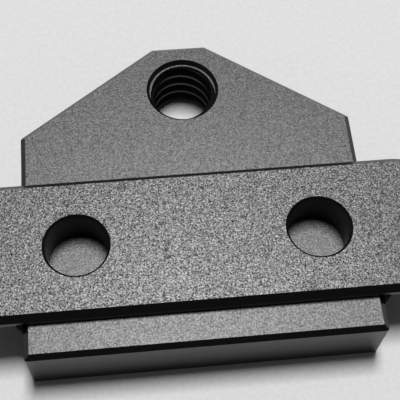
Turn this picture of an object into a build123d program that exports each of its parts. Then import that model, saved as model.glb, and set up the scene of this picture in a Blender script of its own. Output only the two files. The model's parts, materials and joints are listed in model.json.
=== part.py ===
from build123d import *
import os

# Machined mounting block, milled from one piece of aluminium.
# A low block with a pointed tab at its back carries a flat cross bar with rounded ends.
# The bar stands out past both sides of the block as thin ears, clear of the ground, with a
# screw hole near each end. Two blind locating bores go down through it into the block.
# The tab has a threaded through hole, kept here at the size of its tap drill.
#
# Millimetres. The origin is on the underside, midway between the two locating bores.
# +X runs along the bar, +Y towards the tip of the tab, and +Z up.

# Cross bar
ear_length = 8.55         # how far the bar stands out past each side of the block
bar_width = 12.2
bar_thickness = 1.2       # the bar lies on the block, so its ears start at the block's top level
bar_chamfer = 0.55

# Block and tab
block_width = 29.1
block_height = 6.0
front_lip = 2.8           # how far the block stands out in front of the bar
shoulder_depth = 5.2      # straight side behind the bar, up to where the tab narrows
tab_depth = 8.55          # from the shoulders to the tip
tip_width = 4.8
block_chamfer = 0.43

# Small webs left in the four inner corners, below the ears' edges
web_leg = 0.55            # along the bar's foot, and out along the block's side
web_rise = 0.2            # how far a web's sloping top climbs above the block's top level

# Locating bores, blind and flat-bottomed, on the bar's centre line
locating_spacing = 20.0
locating_diameter = 5.2
locating_depth = 3.8

# Screw holes through the ears
screw_hole_inset = 4.5    # from the end of the bar to the hole's axis
screw_hole_diameter = 3.4

# Threaded hole in the tab, right through, countersunk at both mouths
thread_inset = 4.75       # from the tip to the hole's axis
tap_drill_diameter = 5.2
thread_mouth_diameter = 6.45

# Small edge break on the block's upright corners, the hole rims and round both undersides
edge_break = 0.15

# Sizes and places that follow from those above
bar_length = block_width + 2 * ear_length
bar_top = block_height + bar_thickness
front_y = -bar_width / 2 - front_lip
shoulder_y = bar_width / 2 + shoulder_depth
tip_y = shoulder_y + tab_depth
thread_y = tip_y - thread_inset
corner_x = block_width / 2
corner_y = bar_width / 2
chamfer_foot = block_height - block_chamfer
web_floor = chamfer_foot - edge_break
web_top = block_height + web_rise
locating_x = locating_spacing / 2
screw_hole_x = bar_length / 2 - screw_hole_inset
thread_mouth_depth = (thread_mouth_diameter - tap_drill_diameter) / 2

tolerance = 1e-4          # for telling round edges apart by where they are

os.makedirs("parts", exist_ok=True)


def is_thread_rim(edge):
    """True for the mouths of the hole in the tab, behind the bar."""
    return edge.is_closed and edge.arc_center.Y > bar_width / 2


def is_bar_rim(edge):
    """True for the bores' and screw holes' rims, but not for the bores' floors."""
    on_bar = edge.arc_center.Z > block_height - tolerance
    return edge.is_closed and on_bar and edge.arc_center.Y < bar_width / 2


with BuildPart() as bar:
    with BuildSketch(Plane.XY.offset(block_height)):
        SlotOverall(bar_length, bar_width)
    extrude(amount=bar_thickness)
    chamfer(bar.edges().group_by(Axis.Z)[-1], bar_chamfer)
    chamfer(bar.edges().group_by(Axis.Z)[0], edge_break)

with BuildPart() as webs:
    # Outline seen from above, cut off at 45 degrees; it goes on under the ear
    with BuildSketch(Plane.XY.offset(web_floor)):
        with BuildLine():
            Polyline(
                (corner_x, corner_y - web_leg),
                (corner_x + web_leg, corner_y - web_leg),
                (corner_x + web_leg, corner_y),
                (corner_x, corner_y + web_leg),
                close=True,
            )
        make_face()
    extrude(amount=web_top - web_floor)
    # Top, sloping from the bar's wall down to the foot of the block's chamfer
    with BuildSketch(Plane.YZ.offset(corner_x)):
        with BuildLine():
            Polyline(
                (corner_y - web_leg, web_floor),
                (corner_y + web_leg, web_floor),
                (corner_y + web_leg, chamfer_foot),
                (corner_y, web_top),
                (corner_y - web_leg, web_top),
                close=True,
            )
        make_face()
    extrude(amount=web_leg, mode=Mode.INTERSECT)
    mirror(about=Plane.XZ)
    mirror(about=Plane.YZ)

with BuildPart() as mounting_block:
    # Block with its pointed tab
    with BuildSketch():
        with BuildLine():
            Polyline(
                (-block_width / 2, front_y),
                (block_width / 2, front_y),
                (block_width / 2, shoulder_y),
                (tip_width / 2, tip_y),
                (-tip_width / 2, tip_y),
                (-block_width / 2, shoulder_y),
                close=True,
            )
        make_face()
    extrude(amount=block_height)
    chamfer(mounting_block.edges().group_by(Axis.Z)[-1], block_chamfer)
    chamfer(mounting_block.edges().filter_by(Axis.Z), edge_break)
    chamfer(mounting_block.edges().group_by(Axis.Z)[0], edge_break)

    # The block's side edges stay square where the bar crosses them, and no groove is left
    # along the bar's foot.
    with BuildSketch(Plane.XY.offset(chamfer_foot)):
        Rectangle(block_width, bar_width)
    extrude(amount=block_chamfer + edge_break)
    add(bar.part)
    add(webs.part)

    # Locating bores and screw holes
    with Locations((-locating_x, 0, bar_top), (locating_x, 0, bar_top)):
        Hole(locating_diameter / 2, locating_depth)
    with Locations((-screw_hole_x, 0, bar_top), (screw_hole_x, 0, bar_top)):
        Hole(screw_hole_diameter / 2)
    chamfer(mounting_block.edges().filter_by(GeomType.CIRCLE).filter_by(is_bar_rim), edge_break)

    # Threaded hole in the tab, countersunk at both mouths
    with Locations((0, thread_y, block_height)):
        Hole(tap_drill_diameter / 2)
    thread_rims = mounting_block.edges().filter_by(GeomType.CIRCLE).filter_by(is_thread_rim)
    chamfer(thread_rims, thread_mouth_depth)

mounting_block.part.label = "mounting_block"
export_step(mounting_block.part, "parts/mounting_block.step")
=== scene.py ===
"""A machined mounting block, bead blasted and anodised black, on a pale table.

The block is one piece. The visible piece is the CAD mesh with three small forms cut into it: the
1/4-20 thread in the tab's hole, a level step in that hole's upper countersink, and a slightly
wider edge break on the locating bores' rims. Lengths are in metres unless a name ends in _MM.
The frame is the CAD's: +X along the bar, +Y to the tip of the tab, +Z up.
"""

import json
import math

import bpy
from mathutils import Matrix, Quaternion, Vector

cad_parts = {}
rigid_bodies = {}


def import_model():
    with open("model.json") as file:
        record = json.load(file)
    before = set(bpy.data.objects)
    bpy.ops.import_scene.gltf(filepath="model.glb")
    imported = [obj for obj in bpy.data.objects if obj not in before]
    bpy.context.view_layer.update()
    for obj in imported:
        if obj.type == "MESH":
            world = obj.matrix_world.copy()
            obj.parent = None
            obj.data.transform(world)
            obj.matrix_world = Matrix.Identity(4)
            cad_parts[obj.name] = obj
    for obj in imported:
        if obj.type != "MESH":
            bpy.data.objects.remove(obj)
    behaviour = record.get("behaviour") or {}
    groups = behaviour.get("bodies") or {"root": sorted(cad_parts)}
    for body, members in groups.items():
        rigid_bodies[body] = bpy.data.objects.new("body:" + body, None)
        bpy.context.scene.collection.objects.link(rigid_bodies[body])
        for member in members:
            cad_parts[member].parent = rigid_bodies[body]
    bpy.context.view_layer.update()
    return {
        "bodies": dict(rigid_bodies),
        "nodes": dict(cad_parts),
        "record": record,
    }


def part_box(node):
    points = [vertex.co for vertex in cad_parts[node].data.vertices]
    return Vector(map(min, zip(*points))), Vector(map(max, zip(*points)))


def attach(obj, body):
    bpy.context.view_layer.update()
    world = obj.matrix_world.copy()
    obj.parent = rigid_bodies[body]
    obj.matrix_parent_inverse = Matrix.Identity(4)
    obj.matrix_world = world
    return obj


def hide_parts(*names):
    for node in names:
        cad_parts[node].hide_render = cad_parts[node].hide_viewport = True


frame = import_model()

MM = 0.001
CAD_NODE = "mounting_block"
PIECE = "machined_block"
FINISH_SLOT = "anodised_aluminium"
THREADED_MOUNT = "tripod_thread"
BORE_MOUNTS = ("locating_bore_left", "locating_bore_right")

# Thread: 1/4-20 UNC, right-handed
THREAD_MAJOR_DIAMETER_MM = 6.35
THREAD_PITCH_MM = 1.27
THREAD_FLANK_ANGLE = math.radians(30)
THREAD_ROOT_FLAT_MM = THREAD_PITCH_MM / 4
THREAD_START = math.radians(208)      # turns the thread about its axis
THREAD_SECTIONS_PER_TURN = 96

# Level step in the threaded hole's upper countersink
LEAD_STEP_MM = 0.37                   # how far it reaches out past the tapped wall
LEAD_DEPTH_MM = 0.42                  # how far it lies below the top of the block

# Edge break at 45 degrees on the locating bores' rims
RIM_BREAK_MM = 0.2

# Cutters
CUTTER_OVERLAP_MM = 0.15              # how far one reaches into the open hole from its wall
CUTTER_OVERRUN_MM = 1.0               # how far one runs on past the faces that it cuts through
ROUND_CUTTER_SIDES = 128

# Mesh clean-up and shading
WELD_DISTANCE_MM = 0.0005
SHARP_ANGLE = math.radians(28)

# Camera, close above the part's front
CAMERA_AIM = Vector((0.00094, 0.00687, 0.0))
CAMERA_DISTANCE = 0.08729
CAMERA_ELEVATION = math.radians(63.01)
CAMERA_TURN = math.radians(8.40)      # how far it looks towards +X from straight along +Y
CAMERA_ROLL = math.radians(3.19)
CAMERA_LENS_MM = 85.59
CAMERA_SENSOR_MM = 36.0
CAMERA_CLIP_START = CAMERA_DISTANCE / 20
CAMERA_CLIP_END = CAMERA_DISTANCE * 50

# Lamp: one soft box, high up and a little behind the part
LAMP_DISTANCE = 0.6
LAMP_TILT_BACK = math.radians(11.2)
LAMP_TILT_RIGHT = math.radians(2.0)
LAMP_WIDTH_ANGLE = math.radians(12.0)
LAMP_DEPTH_ANGLE = math.radians(17.5)
LAMP_IRRADIANCE = 0.97 * math.pi      # on a level card; by this lamp alone, white renders as 0.97

# Room: its light grows from front to back, over this span of the direction's Y
ROOM_IN_FRONT = 0.055
ROOM_BEHIND = 0.14
ROOM_FRONT_Y = -0.5
ROOM_BEHIND_Y = 0.5

# Table, with faint fibres as in heavy paper
TABLE_HALF_WIDTH = 0.4
TABLE_GAP = 0.00001                   # keeps the table just off the part's underside
TABLE_LIGHT = 0.725
TABLE_DARK = 0.675
TABLE_GRAIN_PER_MM = 2.5
TABLE_NOISE_LOW = 0.3                 # noise at which the table is at its darkest
TABLE_NOISE_HIGH = 0.7                # and at its lightest

# Finish: level faces are bead blasted, the rest keep the cutter's smoother surface
DYE_COLOUR = (0.004, 0.004, 0.004, 1.0)
FINISH_IOR = 1.77                     # aluminium oxide
BLASTED_ROUGHNESS = 0.49
BLASTED_SPECULAR = 0.56
CUT_ROUGHNESS = 0.28
CUT_SPECULAR = 0.13
LEVEL_FROM = 0.89                     # upward part of the normal where the blasted look starts
LEVEL_TO = 0.97                       # and where it is complete

# Grain of the blasted faces
GRAIN_PER_MM = 8.5
GRAIN_HEIGHT_MM = 0.016
SPARKLE = 2.3                         # how much the gloss varies from spot to spot
SPARKLE_POWER = 1.5                   # above 1, glints stand out more than dull spots
COARSE_FROM_MM = 6.9                  # height where the bar top's coarse grain starts
COARSE_TO_MM = 7.1                    # and where it is complete
LOW_GRAIN_SHARE = 0.50                # of that grain, on the level faces below it
CUT_GRAIN_SHARE = 0.2                 # what is left of it on the surfaces that aren't blasted


def clear_startup_objects():
    """Takes away what Blender starts with, so that only the frame is left."""
    kept = set(frame["nodes"].values()) | set(frame["bodies"].values())
    for thing in list(bpy.data.objects):
        if thing not in kept:
            bpy.data.objects.remove(thing)


def link(thing):
    """Puts a new object into the scene."""
    bpy.context.scene.collection.objects.link(thing)
    return thing


def new_solid(name, points, faces):
    """An object in the scene, made from points and faces."""
    mesh = bpy.data.meshes.new(name)
    mesh.from_pydata(points, [], faces)
    mesh.update()
    return link(bpy.data.objects.new(name, mesh))


def mount(name):
    """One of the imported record's mounts."""
    return next(m for m in frame["record"]["mounts"] if m["name"] == name)


# Block with its thread and rims

def thread_cutter(axis_x_mm, axis_y_mm, bottom_mm, top_mm, wall_radius_mm):
    """A spiral ridge, in millimetres, with the section that the tap's teeth cut out."""
    root_radius = THREAD_MAJOR_DIAMETER_MM / 2
    inner_radius = wall_radius_mm - CUTTER_OVERLAP_MM
    root_half = THREAD_ROOT_FLAT_MM / 2
    inner_half = root_half + (root_radius - inner_radius) * math.tan(THREAD_FLANK_ANGLE)
    section = [
        (inner_radius, -inner_half),
        (root_radius, -root_half),
        (root_radius, root_half),
        (inner_radius, inner_half),
    ]
    start = bottom_mm - CUTTER_OVERRUN_MM
    turns = (top_mm - bottom_mm + 2 * CUTTER_OVERRUN_MM) / THREAD_PITCH_MM
    steps = round(turns * THREAD_SECTIONS_PER_TURN)
    points = []
    for step in range(steps + 1):
        turn = step / THREAD_SECTIONS_PER_TURN
        angle = THREAD_START + 2 * math.pi * turn
        height = start + THREAD_PITCH_MM * turn
        for radius, offset in section:
            points.append((
                axis_x_mm + radius * math.cos(angle),
                axis_y_mm + radius * math.sin(angle),
                height + offset,
            ))
    corners = len(section)
    faces = [
        tuple(range(corners)),
        tuple(reversed(range(steps * corners, (steps + 1) * corners))),
    ]
    for step in range(steps):
        here, ahead = step * corners, (step + 1) * corners
        for corner in range(corners):
            beside = (corner + 1) % corners
            faces.append((here + corner, ahead + corner, ahead + beside, here + beside))
    return new_solid("thread_cutter", points, faces)


def round_cutter(name, axis_x_mm, axis_y_mm, foot, head):
    """An upright cylinder or cone, in millimetres.

    Its foot and its head are each a height and a radius.
    """
    sides = ROUND_CUTTER_SIDES
    points = []
    for height, radius in (foot, head):
        for side in range(sides):
            angle = 2 * math.pi * side / sides
            points.append((
                axis_x_mm + radius * math.cos(angle),
                axis_y_mm + radius * math.sin(angle),
                height,
            ))
    faces = [tuple(reversed(range(sides))), tuple(range(sides, 2 * sides))]
    for side in range(sides):
        beside = (side + 1) % sides
        faces.append((side, beside, sides + beside, sides + side))
    return new_solid(name, points, faces)


def lead_cutter(axis_x_mm, axis_y_mm, top_mm, wall_radius_mm):
    """A short cylinder that leaves a level step in the threaded hole's upper countersink."""
    radius = wall_radius_mm + LEAD_STEP_MM
    foot = (top_mm - LEAD_DEPTH_MM, radius)
    head = (top_mm + CUTTER_OVERRUN_MM, radius)
    return round_cutter("lead_cutter", axis_x_mm, axis_y_mm, foot, head)


def rim_cutter(bore, top_mm):
    """A cone that breaks the edge of a bore's rim at 45 degrees."""
    axis_x, axis_y = (c / MM for c in bore["pos_m"][:2])
    rim_radius = bore["dims"]["r_mm"] + RIM_BREAK_MM
    below = RIM_BREAK_MM + CUTTER_OVERLAP_MM
    foot = (top_mm - below, rim_radius - below)
    head = (top_mm + CUTTER_OVERRUN_MM, rim_radius + CUTTER_OVERRUN_MM)
    return round_cutter("rim_cutter", axis_x, axis_y, foot, head)


def modified_mesh(thing):
    """The object's mesh with its modifiers applied."""
    bpy.context.view_layer.update()
    graph = bpy.context.evaluated_depsgraph_get()
    return bpy.data.meshes.new_from_object(thing.evaluated_get(graph))


def make_block(material):
    """The CAD mesh, with its small forms cut into it, as the visible piece."""
    # A copy in millimetres, without the stored normals, which wouldn't fit the cut faces
    mesh = frame["nodes"][CAD_NODE].data.copy()
    mesh.attributes.remove(mesh.attributes["custom_normal"])
    mesh.transform(Matrix.Scale(1 / MM, 4))
    blank = link(bpy.data.objects.new("blank", mesh))
    weld = blank.modifiers.new("weld", "WELD")
    weld.merge_threshold = WELD_DISTANCE_MM

    # The threaded hole's mount lies halfway down it
    low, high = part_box(CAD_NODE)
    hole = mount(THREADED_MOUNT)
    axis_x, axis_y, middle = (c / MM for c in hole["pos_m"])
    wall_radius = hole["dims"]["r_mm"]
    bottom = low.z / MM
    top = 2 * middle - bottom
    cutters = [
        thread_cutter(axis_x, axis_y, bottom, top, wall_radius),
        lead_cutter(axis_x, axis_y, top, wall_radius),
        *(rim_cutter(mount(name), high.z / MM) for name in BORE_MOUNTS),
    ]
    for cutter in cutters:
        cut = blank.modifiers.new(cutter.name, "BOOLEAN")
        cut.operation = "DIFFERENCE"
        cut.solver = "EXACT"
        cut.object = cutter
    finished = modified_mesh(blank)
    for thing in [blank, *cutters]:
        bpy.data.objects.remove(thing)

    finished.name = PIECE
    finished.transform(Matrix.Scale(MM, 4))
    finished.shade_smooth()
    finished.set_sharp_from_angle(angle=SHARP_ANGLE)
    finished.materials.clear()
    finished.materials.append(material)
    block = link(bpy.data.objects.new(PIECE, finished))
    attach(block, "root")
    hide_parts(CAD_NODE)


# Materials

def new_material(name):
    """An empty node material with its shader, and a function that adds nodes to it."""
    material = bpy.data.materials.new(name)
    material.use_nodes = True
    tree = material.node_tree
    shader = tree.nodes["Principled BSDF"]

    def add(kind, **settings):
        node = tree.nodes.new(kind)
        for key, value in settings.items():
            setattr(node, key, value)
        return node

    return material, tree, shader, add


def ranged(tree, value, from_low, from_high, to_low, to_high):
    """A node value carried over from one range to another, held at its ends."""
    node = tree.nodes.new("ShaderNodeMapRange")
    tree.links.new(value, node.inputs["Value"])
    for name, number in (
        ("From Min", from_low),
        ("From Max", from_high),
        ("To Min", to_low),
        ("To Max", to_high),
    ):
        node.inputs[name].default_value = number
    return node.outputs["Result"]


def anodised_aluminium():
    """Black dyed anodising, over a bead blast on the faces that lie level."""
    material, tree, shader, add = new_material(FINISH_SLOT)
    place = add("ShaderNodeTexCoord")
    facing = add("ShaderNodeSeparateXYZ")
    tree.links.new(place.outputs["Normal"], facing.inputs["Vector"])

    def product(one, other):
        """Two node values multiplied."""
        node = add("ShaderNodeMath", operation="MULTIPLY")
        tree.links.new(one, node.inputs[0])
        tree.links.new(other, node.inputs[1])
        return node.outputs["Value"]

    def by_level(cut, blasted):
        """One number on the cut surfaces and another on the blasted, level ones."""
        return ranged(tree, facing.outputs["Z"], LEVEL_FROM, LEVEL_TO, cut, blasted)

    shader.inputs["Base Color"].default_value = DYE_COLOUR
    shader.inputs["IOR"].default_value = FINISH_IOR
    tree.links.new(by_level(CUT_ROUGHNESS, BLASTED_ROUGHNESS), shader.inputs["Roughness"])

    # How strong the grain is here
    spot = add("ShaderNodeSeparateXYZ")
    tree.links.new(place.outputs["Object"], spot.inputs["Vector"])
    coarse_from, coarse_to = COARSE_FROM_MM * MM, COARSE_TO_MM * MM
    by_height = ranged(tree, spot.outputs["Z"], coarse_from, coarse_to, LOW_GRAIN_SHARE, 1.0)
    strength = product(by_height, by_level(CUT_GRAIN_SHARE, 1.0))

    # Relief
    grain = add("ShaderNodeTexNoise")
    grain.inputs["Scale"].default_value = GRAIN_PER_MM / MM
    grain.inputs["Detail"].default_value = 0.0
    tree.links.new(place.outputs["Object"], grain.inputs["Vector"])
    blast = add("ShaderNodeBump")
    blast.inputs["Strength"].default_value = 1.0
    blast.inputs["Distance"].default_value = GRAIN_HEIGHT_MM * MM
    tree.links.new(product(grain.outputs["Fac"], strength), blast.inputs["Height"])
    tree.links.new(blast.outputs["Normal"], shader.inputs["Normal"])

    # Gloss that varies from spot to spot; the noise is centred on nought before it is scaled
    parts = add("ShaderNodeSeparateColor")
    tree.links.new(grain.outputs["Color"], parts.inputs["Color"])
    centred = ranged(tree, parts.outputs["Green"], 0.0, 1.0, -0.5, 0.5)
    swing = add("ShaderNodeMath", operation="MULTIPLY_ADD")
    tree.links.new(product(centred, strength), swing.inputs[0])
    swing.inputs[1].default_value = SPARKLE
    swing.inputs[2].default_value = 1.0
    glint = add("ShaderNodeMath", operation="POWER")
    tree.links.new(swing.outputs["Value"], glint.inputs[0])
    glint.inputs[1].default_value = SPARKLE_POWER
    gloss = product(by_level(CUT_SPECULAR, BLASTED_SPECULAR), glint.outputs["Value"])
    tree.links.new(gloss, shader.inputs["Specular IOR Level"])
    return material


def table_top():
    """Matt pale table, faintly mottled like heavy paper."""
    material, tree, shader, add = new_material("table_top")
    shader.inputs["Roughness"].default_value = 1.0
    shader.inputs["Specular IOR Level"].default_value = 0.0
    place = add("ShaderNodeTexCoord")
    fibres = add("ShaderNodeTexNoise")
    fibres.inputs["Scale"].default_value = TABLE_GRAIN_PER_MM / MM
    tree.links.new(place.outputs["Object"], fibres.inputs["Vector"])
    shade = ranged(
        tree, fibres.outputs["Fac"], TABLE_NOISE_LOW, TABLE_NOISE_HIGH, TABLE_DARK, TABLE_LIGHT
    )
    tree.links.new(shade, shader.inputs["Base Color"])
    return material


# Table, lamp, room and camera

def make_table(material):
    """The table that the part lies on."""
    half = TABLE_HALF_WIDTH
    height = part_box(CAD_NODE)[0].z - TABLE_GAP
    corners = [
        (-half, -half, height),
        (half, -half, height),
        (half, half, height),
        (-half, half, height),
    ]
    table = new_solid("table", corners, [(0, 1, 2, 3)])
    table.data.materials.append(material)


def aimed(location, target):
    """The rotation that makes a lamp or camera look from location at target, kept upright."""
    return (target - location).to_track_quat("-Z", "Y")


def make_lamp():
    """A soft box that covers the given angles, as seen from the part."""
    width = 2 * LAMP_DISTANCE * math.tan(LAMP_WIDTH_ANGLE / 2)
    depth = 2 * LAMP_DISTANCE * math.tan(LAMP_DEPTH_ANGLE / 2)
    towards = Vector((math.tan(LAMP_TILT_RIGHT), math.tan(LAMP_TILT_BACK), 1.0)).normalized()

    light = bpy.data.lights.new("soft_box", "AREA")
    light.shape = "RECTANGLE"
    light.size = width
    light.size_y = depth
    light.energy = LAMP_IRRADIANCE * math.pi * LAMP_DISTANCE ** 2 / towards.z
    lamp = link(bpy.data.objects.new("soft_box", light))
    lamp.rotation_mode = "QUATERNION"
    lamp.location = towards * LAMP_DISTANCE
    lamp.rotation_quaternion = aimed(lamp.location, Vector())


def make_world():
    """A dim room, a little lighter behind the part than in front of it."""
    world = bpy.data.worlds.new("room")
    world.use_nodes = True
    tree = world.node_tree
    where = tree.nodes.new("ShaderNodeTexCoord")
    direction = tree.nodes.new("ShaderNodeSeparateXYZ")
    tree.links.new(where.outputs["Generated"], direction.inputs["Vector"])
    level = ranged(
        tree, direction.outputs["Y"], ROOM_FRONT_Y, ROOM_BEHIND_Y, ROOM_IN_FRONT, ROOM_BEHIND
    )
    tree.links.new(level, tree.nodes["Background"].inputs["Color"])
    bpy.context.scene.world = world


def make_camera():
    """A close camera above the part's front, turned and rolled a little as a hand holds it."""
    look = Vector((
        math.sin(CAMERA_TURN) * math.cos(CAMERA_ELEVATION),
        math.cos(CAMERA_TURN) * math.cos(CAMERA_ELEVATION),
        -math.sin(CAMERA_ELEVATION),
    ))
    camera_data = bpy.data.cameras.new("camera")
    camera_data.lens = CAMERA_LENS_MM
    camera_data.sensor_width = CAMERA_SENSOR_MM
    camera_data.clip_start = CAMERA_CLIP_START
    camera_data.clip_end = CAMERA_CLIP_END
    camera = link(bpy.data.objects.new("camera", camera_data))
    camera.rotation_mode = "QUATERNION"
    camera.location = CAMERA_AIM - look * CAMERA_DISTANCE
    roll = Quaternion((0, 0, 1), CAMERA_ROLL)
    camera.rotation_quaternion = aimed(camera.location, CAMERA_AIM) @ roll
    bpy.context.scene.camera = camera


clear_startup_objects()
make_block(anodised_aluminium())
make_table(table_top())
make_lamp()
make_world()
make_camera()
bpy.context.scene.view_settings.view_transform = "Standard"
